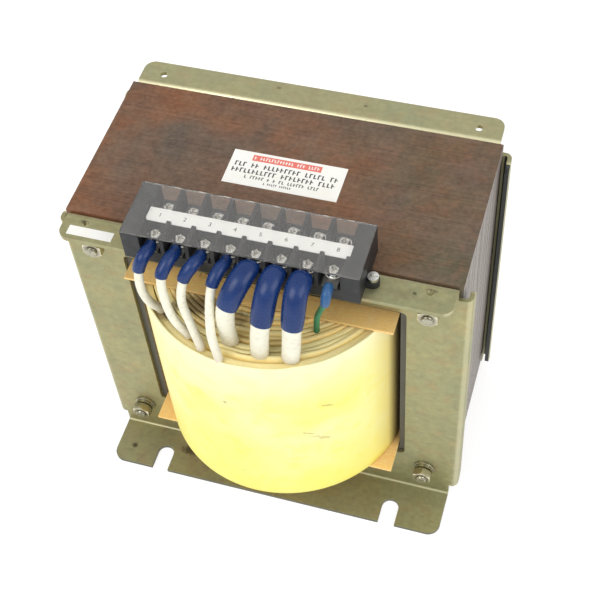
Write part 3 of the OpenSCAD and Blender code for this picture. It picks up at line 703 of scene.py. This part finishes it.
def dressNodes():
    for name, (look, width) in nodeLooks.items():
        nodes[name].data.materials.clear()
        nodes[name].data.materials.append(look)
        if width == 0:
            continue
        weld = nodes[name].modifiers.new("joinTriangles", "WELD")
        weld.merge_threshold = softEdge["weld"] * mm
        bevel = nodes[name].modifiers.new("softEdge", "BEVEL")
        bevel.width = width * mm
        bevel.segments = softEdge["segments"]
        bevel.limit_method = "ANGLE"
        bevel.angle_limit = math.radians(softEdge["angle"])
        bevel.use_clamp_overlap = True
    airGap = nodes["terminal_cover"].modifiers.new("airGap", "DISPLACE")
    airGap.strength = -softEdge["coverGap"] * mm  # keeps the cover off the block's top
    airGap.mid_level = 0.0


dressNodes()
print("CAD nodes dressed:", len(nodeLooks))


# Core

core = {"sheets": 190, "step": 0.07, "seed": 11, "formerGap": 2.5, "tones": (0.25, 0.75), "endTone": 0.5,
        "sharp": 20}


# stack of laminations: the outline's four corners, carried along Y through one flat step for
# each sheet, with every sheet moved in or out by a small random amount
def stackRings(corners, offsets):
    edges = np.linspace(coreLow[1], coreHigh[1], core["sheets"] + 1)
    y = np.stack([edges[:-1], edges[1:]], -1).ravel()
    move = np.repeat(offsets, 2)[:, None, None]
    flat = corners[None] + move * np.sign(corners - corners.mean(0))[None]
    return np.stack([flat[..., 0], np.broadcast_to(y[:, None], flat.shape[:2]), flat[..., 1]], -1)


# the core as five bars, two yokes and three legs, each a stack with flat ends
def buildCore():
    rng = np.random.default_rng(core["seed"])
    offsets = np.clip(rng.normal(0, core["step"] / 2, core["sheets"]), -core["step"], 0)
    sheetTones = rng.uniform(*core["tones"], core["sheets"])
    leg = formerHigh[0] - core["formerGap"]
    left, _, bottom = coreLow
    right, _, top = coreHigh
    sill, head = bottom + leg, top - leg
    bars = [(left, head, right, top), (left, bottom, right, sill), (left, sill, left + leg, head),
            (-leg, sill, leg, head), (right - leg, sill, right, head)]
    parts = [cappedPart(stackRings(rectangle(*bar), offsets)) for bar in bars]
    pointTones = np.repeat(sheetTones, 2 * 4)  # two rings of four corners for each sheet
    tones = [np.append(pointTones, [core["endTone"]] * 2)] * len(bars)
    addPiece("core_stack", parts, coreVarnish, ("laminated_core",), core["sharp"], tones)


buildCore()
print("core stacked:", core["sheets"], "sheets")


# Coil

# waves of an edge are height, length and phase; those of a layer have a multiple of its own phase
coil = {"arcShare": 0.81, "arcSteps": 72, "roundSteps": 7, "dome": 0.4, "wrapThick": 1.0, "wrapSteps": 26,
        "belly": 0.35, "wrapWaves": ((0.25, 9.0, 1.0), (0.2, 4.1, 0.0)), "wrapDip": 0.3, "wavyShare": 0.25,
        "layers": 13, "lowest": 2.3, "band": 2.2, "wrapGap": 0.2, "shift": 0.4, "gap": 0.3,
        "gapSpread": (0.7, 1.3), "layerSteps": 4, "endGap": 0.4, "short": 1.4,
        "layerWaves": ((0.35, 7.0, 1.0), (0.25, 2.9, 2.0)), "layerDip": 0.4, "phases": 6.28,
        "wavyFrom": 6.0, "wavyDeep": 4.0, "tones": (0.25, 1.0), "wireGap": 0.6, "wireDeep": 3.0, "seed": 5}
coilBuild = wrapHigh[0] - formerHigh[0]
endBuild = wrapHigh[1] - formerHigh[1]
arcDeep = coil["arcShare"] * wrapHigh[0]


# closed outline of the coil at a build beside the former: two arcs whose depth grows with the
# build, joined by straight sides; gives points and outward directions
def coilLoop(build):
    share = build / coilBuild
    w = formerHigh[0] + build
    d = formerHigh[1] + share * endBuild
    deep = share * arcDeep
    radius = (w * w + deep * deep) / (2 * deep)
    turn = np.linspace(-1, 1, coil["arcSteps"]) * math.atan2(w, radius - deep)
    out = np.stack([np.sin(turn), -np.cos(turn)], -1)
    front = out * radius + [0, radius - d]
    return np.concatenate([front, -front]), np.concatenate([out, -out])


# a closed section, in and up, carried round the coil's outline and raised by rise
def coilRings(build, section, rise):
    points, out = coilLoop(build)
    flat = points[:, None] + out[:, None] * section[None, :, :1]
    z = section[None, :, 1] + rise
    return np.concatenate([flat, np.broadcast_to(z, flat.shape[:2])[..., None]], -1)


# upright section with round ends, its thickness going inwards
def uprightSection(thick, low, high, steps):
    half = thick / 2
    turn = np.linspace(0, np.pi, coil["roundSteps"])
    cap = np.stack([half * np.cos(turn) - half, coil["dome"] * half * np.sin(turn)], -1)
    wall = np.linspace(0, 1, steps)[1:-1, None]
    outer = np.concatenate([np.zeros_like(wall), low + half + wall * (high - low - thick)], -1)
    inner = np.concatenate([np.full_like(wall, -thick), high - half - wall * (high - low - thick)], -1)
    return np.concatenate([outer, cap + [0, high - half], inner, [-thick, low + half] - cap])


# height of a wavy edge along the coil's outline
def edgeWave(build, waves, dip, phase=1.0):
    x = coilLoop(build)[0][:, 0]
    return sum(tall * np.sin(x / length + turn * phase) for tall, length, turn in waves)[:, None] - dip


# the wrap bulges a little at mid height and is wavy along its upper edge
def buildWrap():
    section = uprightSection(coil["wrapThick"], wrapLow[2], wrapHigh[2], coil["wrapSteps"])
    height = (section[:, 1] - wrapLow[2]) / (wrapHigh[2] - wrapLow[2])
    section[:, 0] += coil["belly"] * np.sin(np.pi * np.clip(height, 0, 1)) - coil["belly"] / 2
    nearTop = np.clip((height - 1) / coil["wavyShare"] + 1, 0, 1)
    rise = edgeWave(coilBuild, coil["wrapWaves"], coil["wrapDip"]) * nearTop
    wrap = loopPart(coilRings(coilBuild, section, rise))
    addPiece("coil_wrap", [wrap], coilPaper, ("outer_wrap",))


# papers between the layers: upright bands with round tops, each a little higher or lower than the
# next and wavy along its edge, and the wires as one band below their tops
def buildLayers():
    rng = np.random.default_rng(coil["seed"])
    inside = coilBuild - coil["wrapThick"]
    edges = np.linspace(coil["lowest"], inside - coil["wrapGap"] - coil["band"], coil["layers"] + 1)
    edges[-1] += coil["band"]  # the outer one is wider
    edges[1:-1] += rng.uniform(-coil["shift"], coil["shift"], coil["layers"] - 1)
    parts = []
    tones = []
    for low, high in zip(edges[:-1], edges[1:]):
        thick = high - low - coil["gap"] * rng.uniform(*coil["gapSpread"])
        top = wrapHigh[2] - coil["endGap"] - rng.uniform(0, coil["short"])
        section = uprightSection(thick, wrapLow[2] + coil["endGap"], top, coil["layerSteps"])
        wave = edgeWave(high, coil["layerWaves"], coil["layerDip"], rng.uniform(0, coil["phases"]))
        nearTop = np.clip((section[:, 1] - wrapHigh[2] + coil["wavyFrom"]) / coil["wavyDeep"], 0, 1)
        parts.append(loopPart(coilRings(high, section, wave * nearTop)))
        tones.append(rng.uniform(*coil["tones"]))
    addPiece("coil_layers", parts, layerPaper,
             ("inner_winding", "winding_screen", "outer_winding"), tones=tones)
    section = uprightSection(inside - 2 * coil["wireGap"], wrapLow[2] + coil["wireDeep"],
                             wrapHigh[2] - coil["wireDeep"], coil["layerSteps"])
    wires = loopPart(coilRings(inside - coil["wireGap"], section, 0.0))
    addPiece("coil_wires", [wires], windingWire)


buildWrap()
buildLayers()
print("coil wound:", coil["layers"], "layers")


# Leads

# routes as in the part's source: pole pitches to the right of the pole, share of the way from the
# block's front to the coil's, and share of the way up from the coil to the cap; sizes are for a
# thin, a thick and the last lead
leads = {"routes": [
    [[-0.12, 0.2, 0.98], [-0.29, 0.3, 0.82], [-0.25, 0.4, 0.59], [-0.18, 0.31, 0.26], [0.05, 0.15, 0]],
    [[-0.1, 0.2, 1], [-0.28, 0.4, 0.87], [-0.22, 0.5, 0.59], [0.04, 0.56, 0.26], [0.5, 0.55, 0]],
    [[-0.18, 0.2, 0.99], [-0.46, 0.34, 0.84], [-0.54, 0.48, 0.57], [-0.27, 0.57, 0.26], [0.18, 0.75, 0]],
    [[-0.12, 0.2, 1], [-0.27, 0.39, 0.89], [-0.33, 0.56, 0.63], [-0.25, 0.76, 0.29], [0.03, 0.9, 0]],
    [[-0.26, 0.33, 0.93], [-0.62, 0.56, 0.69], [-0.75, 0.57, 0.49], [-0.84, 0.52, 0.25], [-0.84, 0.46, 0]],
    [[-0.13, 0.35, 0.92], [-0.29, 0.61, 0.56], [-0.37, 0.65, 0.38], [-0.46, 0.62, 0.18], [-0.52, 0.6, 0]],
    [[-0.05, 0.33, 0.93], [-0.1, 0.58, 0.58], [-0.17, 0.57, 0.38], [-0.24, 0.56, 0.18], [-0.3, 0.56, 0]],
    [[0, 0.16, 0.97], [-0.06, 0.2, 0.83], [-0.3, 0.09, 0.61], [-0.56, 0, 0.34], [-0.7, -0.1, 0]]],
    "kind": (0, 0, 0, 0, 1, 1, 1, 2), "capD": (6.8, 11.0, 5.0), "sleeveD": (4.6, 8.8, 3.0),
    "flat": (1.0, 0.84, 1.0), "wide": (1.0, 1.07, 1.0), "back": (3.0, 0.6, 0.3), "capGap": 0.4,
    "endGap": 0.3, "sunk": 1.6, "steps": 10, "sides": 28, "sharp": 60,
    "tip": 0.8, "crimp": 0.86, "swell": 0.25, "drawn": 0.08, "drawnFrom": 0.7, "lip": 0.3, "lipFit": 1.02,
    "inside": 3}
capLooks = (deepBlue, deepBlue, lightBlue)
sleeveLooks = (whiteSleeving, whiteSleeving, greenSleeving)


# a lead's path, the point behind its start and the one below its end
def leadPath(number, kind):
    capZ = platesBottom + leads["capD"][kind] / 2
    endZ = wrapHigh[2] + leads["endGap"]
    startY = blockFront - leads["capGap"]
    shares = np.array(leads["routes"][number - 1])
    points = np.stack([poleX[number - 1] + shares[:, 0] * polePitch,
                       startY + shares[:, 1] * (wrapLow[1] - startY),
                       endZ + shares[:, 2] * (capZ - endZ)], -1)
    start = np.array([[poleX[number - 1], startY, capZ]])
    path = smoothPath(np.concatenate([start, points]), leads["steps"])
    return path, start + [0, leads["back"][kind], 0], path[-1:] - [0, 0, leads["sunk"]]


# cap: a tube that swells from the crimp to its full size and is drawn in at the mouth, where it
# turns in to the sleeve; sleeve: a plain tube that starts inside the cap
def buildLead(number):
    kind = leads["kind"][number - 1]
    path, back, sunk = leadPath(number, kind)
    capR, sleeveR = leads["capD"][kind] / 2, leads["sleeveD"][kind] / 2
    flat, wide = leads["flat"][kind], leads["wide"][kind]
    mouth = 2 * leads["steps"]  # at the second point of the route
    t = np.linspace(0, 1, mouth + 1)
    swell = (1 - leads["crimp"]) * np.sqrt(np.clip(t / leads["swell"], 0, 1))
    drawn = leads["drawn"] * np.clip((t - leads["drawnFrom"]) / (1 - leads["drawnFrom"]), 0, 1) ** 2
    radius = capR * (leads["crimp"] + swell - drawn)
    lip = path[mouth] - leads["lip"] * (path[mouth] - path[mouth - 1])
    capPath = np.concatenate([back, path[:mouth + 1], lip[None]])
    capRadius = wide * np.concatenate([[leads["tip"] * capR], radius, [sleeveR * leads["lipFit"]]])
    capRings = tubeRings(capPath, capRadius, leads["sides"], flat)
    addPiece(f"cap_{number}", [cappedPart(capRings)], capLooks[kind], (f"lead_cap_{number}",),
             leads["sharp"])
    sleevePath = np.concatenate([path[mouth - leads["inside"]:], sunk])
    rings = tubeRings(sleevePath, wide * sleeveR, leads["sides"], flat)
    sleeve = addPiece(f"sleeve_{number}", [cappedPart(rings)], sleeveLooks[kind],
                      (f"lead_{number}",), leads["sharp"])
    # UV: across goes once round the tube, up runs from the cap to the coil
    count, sides = rings.shape[:2]
    across = np.append(np.tile(np.arange(sides) / sides, count), [0.5, 0.5])
    run = np.append(np.repeat(np.linspace(0, 1, count), sides), [0.0, 1.0])
    corner = np.empty(len(sleeve.data.loops), np.int32)
    sleeve.data.loops.foreach_get("vertex_index", corner)
    plan = sleeve.data.uv_layers.new(name="tube")
    plan.data.foreach_set("uv", np.stack([across[corner], run[corner]], -1).astype(np.float32).ravel())


for number in range(1, poleCount + 1):
    buildLead(number)
print("leads laid:", poleCount)


# Terminal screws

screws = {"headD": screwHead, "headH": 2.9, "upright": 0.45, "rings": 15, "centre": 0.12, "shankD": 4.0,
          "crossW": 0.95, "crossL": 2.2, "crossDeep": 1.2, "wallRun": 0.18, "endRun": 0.2, "washerD": 8.4,
          "washerT": 0.7, "seam": 0.05, "sides": 48, "sharp": 40}


# pan head: a turned dome on a washer, with two crossed cuts pressed down where a point lies
# near either axis and inside the cut's length
def screwPart(x, y, seat, low):
    headR, shankR, washerR = screws["headD"] / 2, screws["shankD"] / 2, screws["washerD"] / 2
    turn = np.linspace(0.0, 1.0, screws["rings"]) * np.pi / 2
    rise = screws["upright"] + (1 - screws["upright"]) * np.sin(turn)
    dome = np.stack([headR * np.sqrt(np.cos(turn)), screws["headH"] * rise], -1)
    dome[-1, 0] = screws["centre"]
    skirt = [[shankR, low - seat], [shankR, 0.0], [washerR, 0.0], [washerR, screws["washerT"]],
             [headR, screws["washerT"] + screws["seam"]]]
    rings = turnedRings(np.concatenate([np.array(skirt), dome]), screws["sides"])
    head = rings[len(skirt):]
    near = np.minimum(np.abs(head[..., 0]), np.abs(head[..., 1]))
    far = np.hypot(head[..., 0], head[..., 1])
    cut = np.clip((screws["crossW"] / 2 - near) / screws["wallRun"] + 0.5, 0, 1)
    cut *= np.clip((screws["crossL"] - far) / screws["endRun"] + 0.5, 0, 1)
    head[..., 2] -= screws["crossDeep"] * cut
    return cappedPart(rings + [x, y, seat])


def buildScrews(name, node, low, high):
    seat = high[2] - screws["headH"]
    parts = [screwPart(x, (low[1] + high[1]) / 2, seat, low[2]) for x in poleX]
    addPiece(name, parts, terminalNickel, (node,), screws["sharp"])


buildScrews("front_row_screws", "front_terminal_screws", frontScrewsLow, frontScrewsHigh)
buildScrews("rear_row_screws", "rear_terminal_screws", rearScrewsLow, rearScrewsHigh)
print("terminal screws turned:", 2 * poleCount)


# Clamp fasteners

# chamfer is the height of a hexagon's rings from either end, and the nut tones are the rings'
# painted highlight and shade, front to back
fastener = {"boltD": 6.0, "flats": 10.0, "nutH": nutsHigh[1] - nutsLow[1], "headH": 4.0, "headBore": 0.5,
            "hexSides": 72, "chamfer": (0, 0, 0.25, 0.5, 0.9), "coneShare": 0.95, "coneRise": 1.75,
            "nutLightTones": (0.12, 0.55, 1.0, 1.0, 0.75, 0.5, 0.5, 0.4, 0.3, 0.3), "nutSharp": 25, "sharp": 30,
            "pitch": 1.0, "thread": 0.3, "threadSides": 40, "pitchSteps": 8, "tip": 0.86, "tipRise": 0.35,
            "shankSides": 32, "washerD": 12.5, "springD": 11.0, "springT": 1.8, "springCut": 22.0,
            "springStart": 0.6, "springClimb": 0.4, "springPlay": 0.15, "springSteps": 60}
boltX = washersHigh[0] - fastener["washerD"] / 2
boltZ = [washersLow[2] + fastener["washerD"] / 2, washersHigh[2] - fastener["washerD"] / 2]


# hexagon with turned-off corners: at each angle the distance to the flat, cut down near the two
# ends by a cone
def hexRings(height, bore):
    turn = fullTurn(fastener["hexSides"])
    flat = fastener["flats"] / 2 / np.cos((turn + np.pi / 6) % (np.pi / 3) - np.pi / 6)
    chamfer = np.array(fastener["chamfer"])
    z = np.concatenate([chamfer, height - chamfer[::-1]])
    depth = np.minimum(z, height - z)
    cone = fastener["flats"] / 2 * fastener["coneShare"] + depth * fastener["coneRise"]
    radius = np.minimum(flat[None], cone[:, None])
    radius[0] = radius[-1] = bore
    return aboutZ(radius, turn, z[:, None])


# thread: the radius follows a sawtooth of the height less the turn, one pitch for a full turn
def threadRings(length):
    turn = fullTurn(fastener["threadSides"])[None]
    z = np.arange(0, length, fastener["pitch"] / fastener["pitchSteps"])[:, None]
    saw = np.abs((z / fastener["pitch"] - turn / (2 * np.pi)) % 1 - 0.5) * 2
    radius = fastener["boltD"] / 2 - fastener["thread"] * saw
    radius = radius * np.clip(fastener["tip"] + fastener["tipRise"] * z / fastener["pitch"], 0, 1)
    return aboutZ(radius, turn, z)


# spring washer: a square section carried round almost a full turn while it climbs a little
def springRings():
    steps, climb = fastener["springSteps"], fastener["springClimb"]
    turn = np.linspace(0, 2 * np.pi - math.radians(fastener["springCut"]), steps) + fastener["springStart"]
    inner, outer = fastener["boltD"] / 2 + fastener["springPlay"], fastener["springD"] / 2
    radius = np.array([inner, outer, outer, inner])
    z = np.array([0, 0, 1, 1]) * (fastener["springT"] - climb)
    return aboutZ(radius[None], turn[:, None], z[None] + np.linspace(0, climb, steps)[:, None])


# parts drawn along Z are laid along Y, pointing to the back, at one bolt
def layAlongY(rings, x, y, z):
    return np.stack([rings[..., 0] + x, rings[..., 2] + y, z - rings[..., 1]], -1)


def buildFasteners():
    nuts = []
    bolts = []
    springs = []
    boltR = fastener["boltD"] / 2
    headY = boltsHigh[1] - fastener["headH"]
    shank = turnedRings([[boltR, nutsHigh[1]], [boltR, headY]], fastener["shankSides"])
    for x in (-boltX, boltX):
        for z in boltZ:
            nuts.append(loopPart(layAlongY(hexRings(fastener["nutH"], boltR), x, nutsLow[1], z)))
            end = threadRings(nutsHigh[1] - boltsLow[1])
            head = hexRings(fastener["headH"], fastener["headBore"])
            for rings, y in ((end, boltsLow[1]), (head, headY), (shank, 0)):
                bolts.append(cappedPart(layAlongY(rings, x, y, z)))
            springs.append(cappedPart(layAlongY(springRings(), x, nutsHigh[1], z)))
    # painted highlight and shade on each nut, ring by ring
    tones = [np.repeat(fastener["nutLightTones"], fastener["hexSides"])] * len(nuts)
    sharp = fastener["sharp"]
    addPiece("frame_nuts", nuts, nutLitZinc, ("clamp_nuts",), fastener["nutSharp"], tones)
    addPiece("frame_bolts", bolts, fastenerZinc, ("clamp_bolts",), sharp)
    addPiece("frame_spring_washers", springs, fastenerZinc, ("spring_washers",), sharp)
    return len(nuts)


print("fasteners set:", buildFasteners())


# Labels

# places are left, low, right and high, from the middle and from the front plate's face; a row is
# its start, end, height on the plate and size of its strokes
plate = {"place": (-31.5, 39.0, 29.5, 62.0), "thick": 0.15, "bar": (-20.5, 56.2, 16.5, 60.2), "ink": 0.03,
         "rows": ((-28.5, 26, 51.4, 2.9), (-29, 25, 47.2, 2.9), (-21, 18, 43.9, 2.0), (-10, 4, 41.4, 1.4)),
         "barRow": (-19.5, 15.5, 57.2, 2.0), "tag": (-96.0, -12.7, -72.0, -7.0), "seed": 3}

# shares of a stroke's size
strokes = {"stem": 0.25, "arm": 0.55, "armTall": 0.2, "armAt": [0.0, 0.42, 0.84], "armInk": 0.035,
           "step": 0.76, "space": 0.8, "spaceShare": 0.2}


def labelSlab(place, z, thick):
    left, low, right, high = place
    return slabPart(left, faceY + low, right, faceY + high, z, thick)


# a row of meaningless marks: each an upright stroke with one short bar at the foot, middle or head
def strokeRow(rng, row, z):
    x, end, y, tall = row
    parts = []
    while x < end:
        bar = y + rng.choice(strokes["armAt"]) * tall
        parts.append(labelSlab((x, y, x + strokes["stem"] * tall, y + tall), z, plate["ink"]))
        parts.append(labelSlab((x, bar, x + strokes["arm"] * tall, bar + strokes["armTall"] * tall), z,
                               strokes["armInk"]))
        x += tall * (strokes["step"] + strokes["space"] * (rng.random() < strokes["spaceShare"]))
    return parts


def buildLabels():
    rng = np.random.default_rng(plate["seed"])
    top = topZ + plate["thick"]
    marks = []
    for row in plate["rows"]:
        marks += strokeRow(rng, row, top)
    addPiece("rating_card", [labelSlab(plate["place"], topZ, plate["thick"])], whiteCard)
    addPiece("rating_bar", [labelSlab(plate["bar"], top, plate["ink"])], redPrint)
    addPiece("rating_rows", marks, greyPrint)
    addPiece("rating_bar_row", strokeRow(rng, plate["barRow"], top + plate["ink"]), whiteCard)
    addPiece("flange_tag", [labelSlab(plate["tag"], topZ, plate["thick"])], whiteCard)


figures = {"size": 3.4, "thick": 0.01, "lift": 0.015}


# plain pole numbers on the marking strip
def buildNumbers():
    for number, x in enumerate(poleX, 1):
        text = bpy.data.curves.new(f"pole_number_{number}", "FONT")
        text.body = str(number)
        text.size = figures["size"] * mm
        text.extrude = figures["thick"] * mm
        text.align_x = "CENTER"
        text.align_y = "CENTER"
        drawn = placeObject("drawn", text)
        bpy.context.view_layer.update()
        mesh = bpy.data.meshes.new_from_object(drawn.evaluated_get(bpy.context.evaluated_depsgraph_get()))
        bpy.data.objects.remove(drawn)
        middle = Vector((x, (stripLow[1] + stripHigh[1]) / 2, stripHigh[2] + figures["lift"]))
        mesh.transform(Matrix.Translation(middle * mm))
        mesh.materials.clear()
        mesh.materials.append(greyPrint)
        piece = placeObject(f"pole_number_{number}", mesh)
        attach(piece, "root")


buildLabels()
buildNumbers()
print("labels laid")


# Floor, light and camera

# a lamp is its place in metres, its size and its power
studio = {"floor": 40.0, "floorTone": (0.38, 0.38, 0.38), "floorGlow": 0.74, "floorRough": 0.8,
          "horizon": 0.43, "zenith": 0.86, "zenithFrom": 0.8,
          "key": ((-0.9, -1.3, 1.5), 1.4, 16.0), "fill": ((1.3, -0.6, 1.1), 1.2, 8.0)}


def buildFloor():
    half = studio["floor"]
    mesh = bpy.data.meshes.new("floor")
    corners = np.insert(rectangle(-half, -half, half, half), 2, 0.0, axis=1)
    mesh.from_pydata(corners.tolist(), [], [(0, 1, 2, 3)])
    sockets = {"Roughness": studio["floorRough"], "Base Color": studio["floorTone"], "Emission Color": white,
               "Emission Strength": studio["floorGlow"]}
    mesh.materials.append(newMaterial("paleFloor", {"sockets": sockets}))
    floor = placeObject("floor", mesh)


# pale sky that grows brighter from the horizon up, and two soft lamps
def buildLight():
    world = bpy.data.worlds.new("studio")
    world.use_nodes = True
    sky = world.node_tree.nodes["Background"]
    way = split(addNode("ShaderNodeTexCoord", {}, world.node_tree).outputs["Generated"])
    sky.inputs["Color"].default_value = white
    height = remap(way["Z"], 0.0, studio["zenithFrom"], studio["horizon"], studio["zenith"])
    feed(height, sky.inputs["Strength"])
    scene.world = world
    for name in ("key", "fill"):
        place, size, power = studio[name]
        lamp = bpy.data.lights.new(name, "AREA")
        lamp.size = size
        lamp.energy = power
        light = placeObject(name, lamp)
        light.location = place
        light.rotation_euler = (-Vector(place)).to_track_quat("-Z", "Y").to_euler()
    scene.view_settings.view_transform = "Standard"


camera = {"place": (157.44, -402.37, 673.99), "azimuth": 21.334, "elevation": 53.168, "roll": -5.70,
          "lens": 75.23, "sensor": 36.0}


def buildCamera():
    data = bpy.data.cameras.new("camera")
    data.lens = camera["lens"]
    data.sensor_width = camera["sensor"]
    eye = placeObject("camera", data)
    turn = (Matrix.Rotation(math.radians(camera["azimuth"]), 4, "Z")
            @ Matrix.Rotation(math.radians(90 - camera["elevation"]), 4, "X")
            @ Matrix.Rotation(math.radians(camera["roll"]), 4, "Z"))
    eye.matrix_world = Matrix.Translation(Vector(camera["place"]) * mm) @ turn
    scene.camera = eye


buildFloor()
buildLight()
buildCamera()
print("studio ready")
